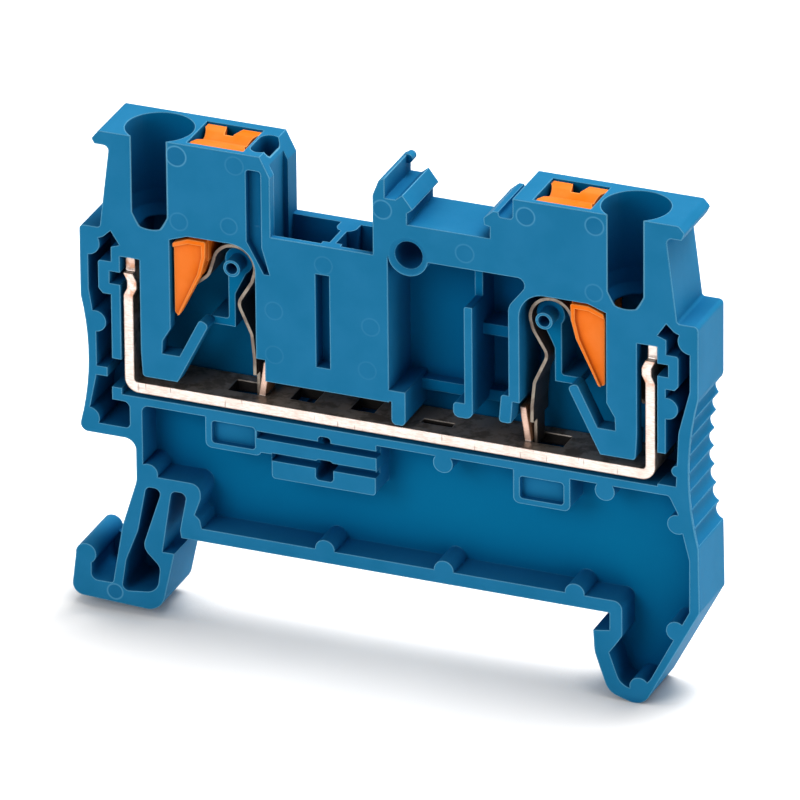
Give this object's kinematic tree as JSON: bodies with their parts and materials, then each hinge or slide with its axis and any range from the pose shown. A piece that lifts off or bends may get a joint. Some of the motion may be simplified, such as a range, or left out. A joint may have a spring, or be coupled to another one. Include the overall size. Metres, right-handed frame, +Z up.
{
  "type": "feed-through terminal block",
  "caption": "Slim rail-mounted feed-through terminal block, open side: push-in wire entries, orange release buttons, current bar and clamping springs, springy rail foot.",
  "frame": {"origin": "middle of the rail seat: the middle of the block's length and of its width, on the plane that rests on the rail's top flanges", "axes": "+X along the block from the springy foot to the fixed foot, +Y across its width from the open face to the closed face, +Z up away from the rail"},
  "size_m": [0.0502, 0.0052, 0.0396],
  "materials": {
    "blue_plastic": "satin moulded polyamide",
    "orange_plastic": "satin moulded polyamide",
    "tinned_copper": "bright cut edges, rolled faces",
    "spring_steel": "rolled strip"
  },
  "bodies": {
    "housing": {"housing": "blue_plastic", "bus_bar": "tinned_copper", "spring_left": "spring_steel", "spring_right": "spring_steel"},
    "button_left": {"button_left": "orange_plastic"},
    "button_right": {"button_right": "orange_plastic"}
  },
  "joints": [
    {"name": "button_left_press", "type": "slide", "parent": "housing", "child": "button_left", "axis": [0, 0, -1], "range_m": [0, 0.0012], "stiffness_N_per_m": 1000, "deforming": ["spring_left"]},
    {"name": "button_right_press", "type": "slide", "parent": "housing", "child": "button_right", "axis": [0, 0, -1], "range_m": [0, 0.0012], "stiffness_N_per_m": 1000, "deforming": ["spring_right"]}
  ]
}
